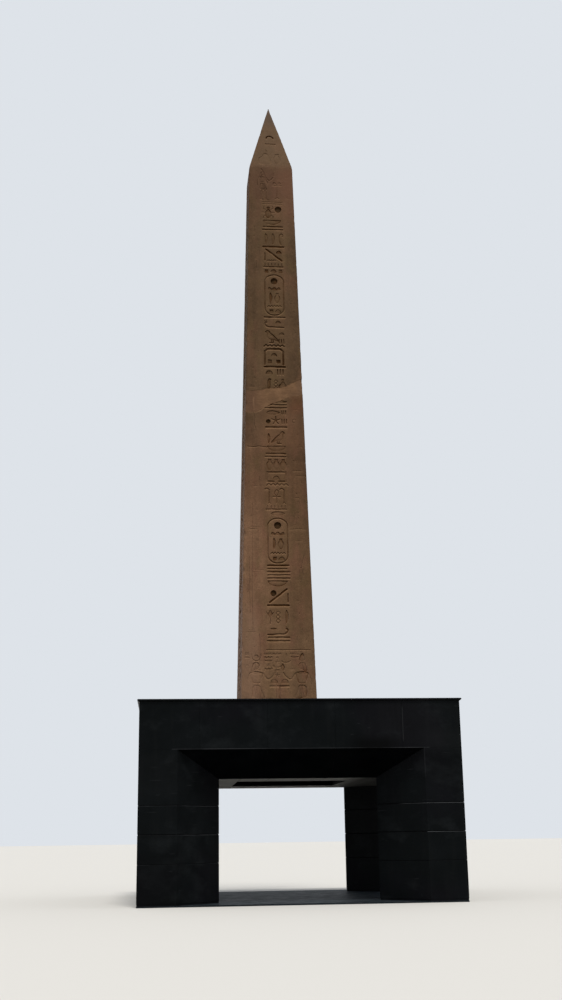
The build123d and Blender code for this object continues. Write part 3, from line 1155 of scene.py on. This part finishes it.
def granite_material():
    """Weathered brown granite with pink and ochre blotches and fine crystals; its cuts are painted dark with
    shade and their lower lips painted light with highlight.
    """
    s = Shader("granite", 0.8, 0.08)
    browns = (0.32, (83, 64, 46)), (0.44, (91, 70, 50)), (0.56, (97, 75, 54)), (0.70, (107, 83, 61))
    s.colour = s.ramp(s.noise(0.6, 5.0, 0.6), *browns)
    low = s.spread(s.z, 12.4, 9.0)
    wander = s.times(s.noise(1.1, 4.0, 0.6), 0.9)
    s.tint((150, 114, 90), low, s.spread(s.math("ADD", s.x, wander), 0.55, -0.35), 0.7)
    s.tint((124, 100, 77), s.spread(s.z, 7.6, 5.4, 0.0, 0.55))
    s.tint((90, 60, 43), s.between(s.z, 9.0, 9.8, 11.0, 11.8), 0.35)
    s.tint((118, 87, 61), low, 0.38)
    pink = s.rise(0.50, 0.64, 1.5, 5.0, 0.6, s.stretched(1.5, 1.5, 0.8))
    s.tint((120, 84, 65), pink, s.spread(low, 0, 1, 0.3, 0.6))
    ochre = s.rise(0.54, 0.66, 1.3, 6.0, 0.65, s.stretched(2.0, 2.0, 0.9))
    s.tint((99, 81, 52), ochre, 0.4)
    streaks = s.noise(1.0, 4.0, 0.6, s.stretched(7.0, 7.0, 0.35))
    s.shade(0.5, streaks, (0.36, 0.82), (0.62, 1.12))
    stains = s.noise(2.4, 8.0, 0.75)
    s.shade(0.6, stains, (0.36, 0.80), (0.50, 1.0), (0.64, 1.12))
    crystals = s.cells(62.0)
    s.shade(0.42, crystals, (0.0, 0.62), (0.30, 0.92), (0.62, 1.06), (0.95, 1.5))
    flecks = s.noise(34.0, 2.0, 0.6)
    s.shade(0.5, flecks, (0.36, 0.74), (0.50, 1.0))
    granite_places(s)
    # Paler colour where stone is newly broken off, and painted highlight on the lower lips of the cuts.
    s.tint((148, 116, 87), s.attribute("fresh_stone_and_lip_highlight"), 0.85)
    s.tint((112, 84, 60), s.attribute("smear"), s.spread(s.noise(9.0, 4.0, 0.7), 0.35, 0.60))
    beside = s.math("MINIMUM", s.distance(s.x, AXIS_X), s.distance(s.y))
    carved = s.spread(s.z, COLUMN_TOP + 0.1, COLUMN_TOP - 0.1)
    s.tint((142, 111, 82), s.spread(beside, 0.50, 0.30), carved, s.spread(s.z, 12.8, 13.3, 0.06, 0.13))
    # Darker, more olive stone in the carved column: partly dirt, partly painted shade of the carving.
    dirt = s.spread(s.noise(2.2, 3.0, 0.6), 0.35, 0.60, 0.0, 0.20)
    s.tint((96, 75, 46), s.spread(beside, 0.33, 0.27), carved, dirt)
    # Painted shade in the cuts: the deeper the cut, the darker its colour, darkest on the deepest floors.
    cut = s.attribute("cut")
    painted_cut_shade = s.mix(s.between(s.z, 12.7, 13.2, 15.0, 15.6), srgb(80, 46, 11), srgb(62, 36, 9))
    painted_cut_shade = s.mix(s.spread(cut, 0.80, 0.95), painted_cut_shade, srgb(56, 38, 17))
    s.colour = s.mix(s.times(s.spread(cut, 0.31, 0.74), 0.92), s.colour, painted_cut_shade)
    grain = s.bump(s.noise(45.0, 3.0, 0.6), 0.004, 0.6)
    lumps = s.bump(s.noise(6.0, 5.0, 0.6), 0.02, 0.5, grain)
    return s.finish(lumps, s.spread(s.noise(20.0, 2.0), 0.3, 0.7, 0.70, 0.9))


def granite_places(s):
    """Tints of single places on the shaft, as the photograph shows them."""
    on_front, on_left = s.facing("Y"), s.facing("X")
    neck = s.between(s.z, 18.2, 18.7, 19.3, 19.8)
    s.tint((108, 77, 60), neck, 0.5)
    blush = s.between(s.z, 17.2, 18.2, 19.4, 19.6)
    s.tint((124, 88, 68), blush, s.spread(s.x, -0.30, 0.15), 0.5)
    # The pointed top is painted lighter: painted light on its sloping faces, which turn towards the sky.
    s.tint((108, 86, 66), s.spread(s.z, 19.3, 19.8, 0.0, 0.5))
    s.tint((84, 76, 72), s.spread(s.z, 20.9, 21.4, 0.0, 0.4))
    below_band = s.between(s.z, 11.0, 11.3, 12.3, 12.5)
    s.tint((130, 92, 68), below_band, on_front, s.spread(s.x, -0.75, -0.45), 0.3)
    s.tint((150, 118, 98), s.spread(s.z, 7.3, 6.6), s.spread(s.x, -0.65, -0.85), 0.3)
    s.tint((84, 68, 58), s.spread(s.z, 4.85, 4.6), s.spread(s.x, 0.3, -0.5), 0.35)
    # The left face is painted paler and greyer: a painted sky sheen on the face seen at a grazing angle.
    s.tint((142, 120, 112), on_left, s.spread(s.z, 12.5, 7.5), 0.22)
    left_face_sheen = s.spread(s.noise(0.9, 4.0, 0.6), 0.35, 0.60, 0.4, 1.0)
    s.tint((172, 142, 125), on_left, s.spread(s.z, 12.0, 6.5, 0.0, 0.22), left_face_sheen)
    taper = s.times(s.z, (FOOT_HALF - NECK_HALF) / (NECK_Z - FOOT_Z))
    right_edge = s.spread(s.math("ADD", s.x, taper), 0.60, 0.72)
    s.tint((40, 34, 28), right_edge, on_front, s.between(s.z, 8.3, 8.9, 12.1, 12.6), 0.18)
    left_edge = s.spread(s.math("SUBTRACT", s.x, taper), -1.03, -1.12)
    s.tint((46, 36, 20), left_edge, on_front, s.between(s.z, 11.2, 11.4, 12.0, 12.15), 0.24)
    under_band = s.between(s.z, 12.1, 12.3, 12.72, 12.76)
    s.tint((124, 74, 51), under_band, s.spread(s.x, 0.05, 0.25), on_front, 0.25)


def mortar_material():
    """Smooth repair mortar tinted to the stone, blotchy, with trowel marks and a painted highlight along a
    ridge.
    """
    s = Shader("repair_mortar_finish", 0.88, 0.25)
    tones = (0.32, (102, 75, 53)), (0.50, (120, 89, 62)), (0.68, (138, 104, 75))
    s.colour = s.ramp(s.noise(2.6, 5.0, 0.6), *tones)
    s.tint((98, 70, 51), s.spread(s.x, -0.45, -0.80, 0.0, 0.7))
    s.tint((84, 64, 54), s.spread(s.x, 0.30, 0.42, 0.0, 0.3))
    s.shade(0.5, s.noise(120.0, 2.0, 0.6), (0.35, 0.82), (0.65, 1.12))
    # A painted highlight along a ridge of mortar near the left arris, on the front.
    wander = s.times(s.noise(3.0, 3.0), 0.16)
    ridge_highlight = s.spread(s.distance(s.math("SUBTRACT", s.x, wander), -0.865), 0.040, 0.004)
    ends = s.between(s.z, 12.22, 12.28, 12.60, 12.66)
    broken = s.spread(s.noise(5.0, 3.0), 0.35, 0.60, 0.25, 1.0)
    s.tint((152, 116, 86), ridge_highlight, ends, s.spread(s.y, 0.0, -0.1), broken, 0.42)
    sweeps = s.noise(3.0, 4.0, 0.6, s.stretched(1.0, 1.0, 4.0))
    return s.finish(s.bump(sweeps, 0.02, 0.5, s.bump(s.noise(90.0, 2.0), 0.002, 0.5)))


def black_stone_material(name="black_granite", brightness=1.0):
    """Honed black granite, slightly cloudy, with faint dust runs, fine specks, painted highlight along the
    portal arrises, and painted shade when brightness is below 1.
    """
    s = Shader(name, 0.4, 0.05 * brightness)
    clouds = s.ramp(s.noise(1.1, 5.0, 0.65), (0.32, (5, 6, 8)), (0.68, (15, 17, 20)))
    hues = s.ramp(s.noise(0.45, 3.0, 0.5), (0.44, (14, 12, 17)), (0.56, (9, 15, 14)))
    s.colour = s.mix(0.35, clouds, hues)
    runs = s.rise(0.52, 0.78, 1.0, 4.0, 0.6, s.stretched(6.0, 6.0, 0.5))
    s.tint((34, 34, 34), runs, 0.16)
    s.tint((56, 58, 62), s.ramp(s.cells(240.0), (0.80, 0.0), (0.95, 1.0)), 0.15)
    smudges = s.rise(0.54, 0.70, 1.0, 5.0, 0.65, s.stretched(1.0, 1.0, 1.6))
    s.tint((44, 47, 49), smudges, 0.28)
    dashes = s.rise(0.78, 0.81, 1.0, 1.0, 0.4, s.stretched(3.0, 3.0, 34.0))
    s.tint((70, 71, 74), dashes, 0.30)
    scuffs = s.rise(0.79, 0.85, 1.0, 0.0, 0.5, s.stretched(2.0, 2.0, 46.0))
    s.tint((70, 71, 74), scuffs, s.spread(s.noise(0.55, 1.0), 0.52, 0.62), 0.24)
    drips = s.rise(0.85, 0.91, 1.0, 0.0, 0.5, s.stretched(17.0, 17.0, 3.0))
    s.tint((86, 88, 90), drips, 0.14)
    front_tones(s)
    # Painted highlight along the portal arrises.
    s.tint((88, 89, 92), portal_arris_highlight(s))
    s.tint((92, 93, 94), pale_joint_line(s), 0.15)
    # A brightness below 1 darkens the colour as painted shade, for a shaded copy of the stone.
    s.tint((0, 0, 0), 1.0 - brightness)
    rough = s.spread(s.noise(2.2, 5.0, 0.65), 0.3, 0.7, 0.30, 0.52)
    return s.finish(s.bump(s.noise(160.0, 2.0), 0.0006, 0.5), rough)


def front_tones(s):
    """Broad stains and paler places on the front, with soft edges."""
    on_front = s.spread(s.y, -3.3, -3.5)
    for left, right, low, high, share, level in FRONT_TONES:
        wide = s.between(s.x, left - 0.25, left + 0.25, right - 0.25, right + 0.25)
        tall = s.between(s.z, low - 0.12, low + 0.12, high - 0.12, high + 0.12)
        s.tint((level, level, level), wide, tall, on_front, share)


def portal_arris_highlight(s):
    """Painted highlight along the arrises round the portals."""
    across, along = s.distance(s.x), s.distance(s.y)
    on_face = s.spread(s.math("MAXIMUM", across, along), BASE_HALF - 0.012, BASE_HALF - 0.008)
    place = s.math("MINIMUM", across, along)
    above = s.math("SUBTRACT", s.z, PORTAL_HEIGHT)
    over_portal = s.spread(place, PORTAL_HALF + 0.14, PORTAL_HALF + 0.10)
    broken = s.spread(s.noise(1.6, 2.0), 0.30, 0.60, 0.05, 0.36)
    head = s.times(s.between(above, -0.001, 0.0, 0.010, 0.016), over_portal, broken)
    beside = s.spread(s.distance(place, PORTAL_HALF), 0.012, 0.006)
    broken = s.spread(s.noise(0.8, 2.0), 0.54, 0.66, 0.0, 0.10)
    jamb = s.times(beside, s.between(above, -1.4, -1.0, -0.001, 0.0), broken)
    return s.times(s.math("MAXIMUM", head, jamb), on_face)


def pale_joint_line(s):
    """A pale line below the coping, beside the last upright joint of the front."""
    run = s.spread(s.distance(s.x, LINTEL_JOINTS[-1] + 0.014), 0.013, 0.006)
    broken = s.spread(s.noise(3.0, 3.0), 0.30, 0.60, 0.3, 1.0)
    return s.times(run, s.spread(s.y, 0.0, -1.0), s.between(s.z, 3.42, 3.5, 4.16, 4.24), broken)


def arris_highlight_and_shade_material():
    """Black stone of the chamfers under the course joints, painted pale in places as highlight, with painted
    shade inside and low down.
    """
    s = Shader("black_arris_highlight_and_shade", 0.6, 0.05)
    tones = (0.42, (14, 15, 17)), (0.54, (36, 38, 41)), (0.66, (78, 79, 82))
    s.colour = s.ramp(s.noise(0.7, 3.0, 0.6), *tones)
    # Painted shade: darker on the inner faces and low down, except at the front-left pier.
    outermost = s.math("MAXIMUM", s.distance(s.x), s.distance(s.y))
    inner = s.spread(outermost, BASE_HALF - 0.02, BASE_HALF - 0.03)
    painted_shade_zone = s.math("MAXIMUM", inner, s.spread(s.z, 1.1, 1.0))
    elsewhere = s.math("MAXIMUM", s.spread(s.x, -0.1, 0.0), s.spread(s.y, -0.1, 0.0))
    s.tint((10, 11, 13), elsewhere, painted_shade_zone)
    # Painted highlight on the high right end of the front, in places.
    near_front = s.times(s.spread(s.y, -3.0, -3.1), s.spread(s.z, 1.9, 2.0))
    front = s.math("MAXIMUM", s.spread(s.y, -3.585, -3.590), near_front)
    right_end = s.times(s.spread(s.x, 2.2, 2.4), s.spread(s.z, 1.40, 1.45))
    s.tint((96, 98, 101), front, right_end, s.spread(s.noise(2.0, 2.0), 0.3, 0.6, 0.15, 0.5))
    s.shade(0.6, s.noise(60.0, 2.0), (0.35, 0.7), (0.65, 1.15))
    return s.finish()


def filler_material():
    """Dark joint filler."""
    s = Shader("joint_filler", 0.8, 0.05)
    s.clouded((5, 5, 6), (12, 12, 12), 30.0, 3.0)
    return s.finish()


def floor_stone_material():
    """Polished dark floor stone with thin pale veins."""
    s = Shader("dark_floor_stone", 0.3, 0.02)
    s.clouded((22, 27, 31), (40, 47, 52), 2.4, 6.0, 0.65)
    s.tint((110, 110, 112), s.ramp(s.noise(1.5, 8.0, 0.7), (0.49, 0.0), (0.50, 1.0), (0.51, 0.0)), 0.25)
    return s.finish(roughness=s.spread(s.noise(3.0, 4.0), 0.3, 0.7, 0.46, 0.62))


def grid_lines(s, shift, half, *edge):
    """1 on the lines of a square grid, and 0 between them."""
    lines = []
    for place in (s.x, s.y):
        lines.append(s.spread(s.math("PINGPONG", s.math("ADD", place, shift), half), *edge, 1.0, 0.0))
    return s.math("MAXIMUM", *lines)


def roof_stone_material():
    """Grey roof paving in slabs, with dirt in the joints."""
    s = Shader("roof_paving", 0.85, 0.3)
    s.clouded((88, 88, 86), (128, 127, 122), 1.6, 6.0, 0.65)
    s.shade(0.5, s.noise(130.0, 2.0), (0.35, 0.78), (0.65, 1.15))
    joint = grid_lines(s, 0.25, 0.3, 0.006, 0.010)
    s.tint((40, 39, 37), joint, 0.75)
    fine = s.bump(s.noise(90.0, 2.0), 0.002, 0.5)
    return s.finish(s.bump(s.math("SUBTRACT", 1.0, joint), 0.006, 1.0, fine))


def ceiling_material():
    """Pale grey ceiling panels with narrow dark joints, darker at the right end and black at the opening's
    edge, both painted shade.
    """
    s = Shader("ceiling_panels", 0.7, 0.03)
    s.clouded((224, 224, 219), (242, 242, 237), 3.0, 4.0)
    joint = grid_lines(s, 0.0, 0.325, 0.004, 0.007)
    s.tint((96, 96, 96), joint, 0.8)
    # Painted shade darkens the right end of the ceiling, where the piers keep light off it.
    s.tint((60, 60, 58), s.spread(s.x, 0.9, 1.6, 0.0, 0.84))
    s.tint((26, 26, 25), s.spread(s.x, 1.3, 2.1, 0.0, 0.9))
    # Painted shade: the ceiling is near black at the opening's edge.
    reach = s.math("MAXIMUM", s.distance(s.x), s.distance(s.y))
    s.tint((7, 7, 7), s.spread(reach, OPENING_HALF + 0.003, OPENING_HALF + 0.001))
    return s.finish(s.bump(s.math("SUBTRACT", 1.0, joint), 0.004))


def lining_material():
    """Matt dark painted plate, made near black as painted shade of the opening, with faint roller texture."""
    s = Shader("black_plate_with_painted_shade", 0.8, 0.02)
    s.clouded((7, 7, 7), (13, 13, 13), 3.0, 5.0)
    return s.finish(s.bump(s.noise(220.0, 2.0), 0.0008, 0.5))


def concrete_material():
    """Cast concrete with board marks and small air holes."""
    s = Shader("cast_concrete", 0.9, 0.3)
    s.clouded((96, 95, 92), (138, 136, 131), 1.8, 6.0, 0.65)
    s.shade(0.8, s.cells(38.0, "Distance"), (0.05, 0.45), (0.12, 1.0))
    boards = s.noise(1.0, 2.0, 0.5, s.stretched(0.5, 0.5, 14.0))
    return s.finish(s.bump(boards, 0.004, 0.6))


def rubber_material():
    """Matt black bearing rubber."""
    s = Shader("bearing_pad_rubber", 0.75, 0.3)
    s.clouded((18, 18, 18), (32, 32, 31), 12.0, 4.0)
    return s.finish(s.bump(s.noise(120.0, 2.0), 0.001, 0.5))


def seen_rays(tree):
    """1 for rays from the camera, directly, in a reflection or through something clear."""
    path = tree.nodes.new("ShaderNodeLightPath").outputs
    seen = path["Is Camera Ray"]
    for kind in ("Is Glossy Ray", "Is Transmission Ray"):
        either = tree.nodes.new("ShaderNodeMath")
        either.operation = "MAXIMUM"
        tree.links.new(seen, either.inputs[0])
        tree.links.new(path[kind], either.inputs[1])
        seen = either.outputs["Value"]
    return seen


def stage_material():
    """Plain ground, pale to the camera and in reflections, and duller as a source of light from below."""
    s = Shader("pale_ground", 0.9, 0.1)
    s.colour = s.mix(seen_rays(s.tree), srgb(104, 102, 99), srgb(212, 210, 206))
    return s.finish()


# Assembly
def dress(piece, slot, replaced, *materials):
    """Gives a new piece its materials and its body, and hides the node it stands for. The slot is not used.
    """
    for each in materials:
        piece.data.materials.append(each)
    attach(piece, "root")
    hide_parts(replaced)


def build_shaft():
    """The two carved lengths and the mortar between them."""
    granite = granite_material()
    cuts = column() + foot_scene() + point_scene()
    top = broken_end(BREAK_TOP, 3.7)
    bottom = broken_end(BREAK_BOTTOM, 8.1)
    lower = shaft_piece("carved_lower_length", flat_end(FOOT_Z), bottom, cuts)
    upper = shaft_piece("carved_upper_length", top, flat_end(TIP_Z), cuts)
    band = shaft_piece("mortar_band", bottom, top, [])
    dress(lower, "shaft_granite", "shaft_lower_fragment", granite)
    dress(upper, "shaft_granite", "shaft_upper_fragment", granite)
    dress(band, "repair_mortar", "shaft_repair_band", mortar_material())


def build_cladding():
    """Piers, lintels, soffits, coping and floor with their joints."""
    black = black_stone_material()
    # The soffits get a copy of the black stone darkened with painted shade.
    underside = black_stone_material("black_granite_with_painted_shade", 0.5)
    pier_finish = black, filler_material(), arris_highlight_and_shade_material()
    outer, inner = -BASE_HALF, -REVEAL_INNER
    lintel = [(outer, PORTAL_HEIGHT), (outer, LINTEL_TOP), (inner, LINTEL_TOP), (inner, PORTAL_HEIGHT)]
    soffit = [(outer, PORTAL_HEIGHT), (inner, PORTAL_HEIGHT), (inner, CEILING_HEIGHT)]
    coping = [
        (-COPING_OUTER, LINTEL_TOP + COPING_LIP), (-COPING_OUTER, ROOF_TOP - COPING_BEVEL),
        (-COPING_OUTER + COPING_BEVEL, ROOF_TOP), (-COPING_INNER, ROOF_TOP), (-COPING_INNER, LINTEL_TOP),
        (outer, LINTEL_TOP),
    ]
    sides = ("front", "right", "back", "left")
    corners = ("front_right", "back_right", "back_left", "front_left")
    for turn, side, corner in zip(SIDE_TURNS, sides, corners):
        dress(pier(f"clad_pier_{corner}", turn), "black_stone", f"pier_{corner}", *pier_finish)
        piece = jointed_bar(f"clad_lintel_{side}", lintel, LINTEL_JOINTS, turn)
        dress(piece, "black_stone", f"lintel_{side}", black)
        piece = jointed_bar(f"clad_soffit_{side}", soffit, LINTEL_JOINTS[1:3], turn, BASE_HALF - PORTAL_HALF)
        dress(piece, "black_stone", f"soffit_{side}", underside)
        piece = jointed_bar(f"jointed_coping_{side}", coping, COPING_JOINTS, turn)
        dress(piece, "coping_stone", f"coping_{side}", black)
        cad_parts[f"foot_course_{corner}"].material_slots[0].material = black
    dress(floor_tiles(), "floor_stone", "floor_slab", floor_stone_material())


def finish_frame():
    """Better materials on the nodes that stay."""
    concrete = concrete_material()
    by_start = {
        "ceiling_": ceiling_material(),
        "opening_lining_": lining_material(),
        "ring_beam_": concrete,
        "cross_beam_": concrete,
        "tie_beam_": concrete,
        "roof_slab_": roof_stone_material(),
        "bearing_pads": rubber_material(),
    }
    for name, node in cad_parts.items():
        for start, chosen in by_start.items():
            if name.startswith(start):
                node.material_slots[0].material = chosen


def build_stage():
    """Pale ground and sky, and soft light from above."""
    mesh = bpy.data.meshes.new("ground")
    corners = [(x * GROUND_HALF, y * GROUND_HALF, GROUND_Z) for x, y in ((-1, -1), (1, -1), (1, 1), (-1, 1))]
    mesh.from_pydata(corners, [], [(0, 1, 2, 3)])
    ground = add_object("ground", mesh)
    mesh.materials.append(stage_material())
    world = bpy.data.worlds.new("sky")
    bpy.context.scene.world = world
    world.use_nodes = True
    tree = world.node_tree
    light = tree.nodes["Background"]
    light.inputs["Color"].default_value = (0.93, 0.96, 1.0, 1.0)
    light.inputs["Strength"].default_value = 0.62
    shown = tree.nodes.new("ShaderNodeBackground")
    shown.inputs["Color"].default_value = srgb(222, 227, 233)
    choice = tree.nodes.new("ShaderNodeMixShader")
    tree.links.new(seen_rays(tree), choice.inputs["Fac"])
    tree.links.new(light.outputs["Background"], choice.inputs[1])
    tree.links.new(shown.outputs["Background"], choice.inputs[2])
    tree.links.new(choice.outputs["Shader"], tree.nodes["World Output"].inputs["Surface"])
    lamp = bpy.data.lights.new("soft_sun", "SUN")
    lamp.energy = 2.3
    lamp.angle = math.radians(16)
    lamp.color = (1.0, 0.965, 0.90)
    sun = add_object("soft_sun", lamp)
    sun.rotation_euler = Vector(SUN_DIRECTION).to_track_quat("-Z", "Y").to_euler()


def build_camera():
    """The camera at the photograph's place."""
    data = bpy.data.cameras.new("camera")
    data.lens = CAMERA_LENS
    data.sensor_width = 36.0
    data.clip_end = 3000.0
    camera = add_object("camera", data)
    turn = Matrix.Rotation(CAMERA_TURN, 4, "Z") @ Matrix.Rotation(CAMERA_PITCH + math.pi / 2, 4, "X")
    camera.matrix_world = Matrix.Translation(CAMERA_PLACE) @ turn @ Matrix.Rotation(CAMERA_ROLL, 4, "Z")
    bpy.context.scene.camera = camera


noise.seed_set(NOISE_SEED)
build_shaft()
build_cladding()
finish_frame()
build_stage()
build_camera()
bpy.context.scene.view_settings.view_transform = "Standard"
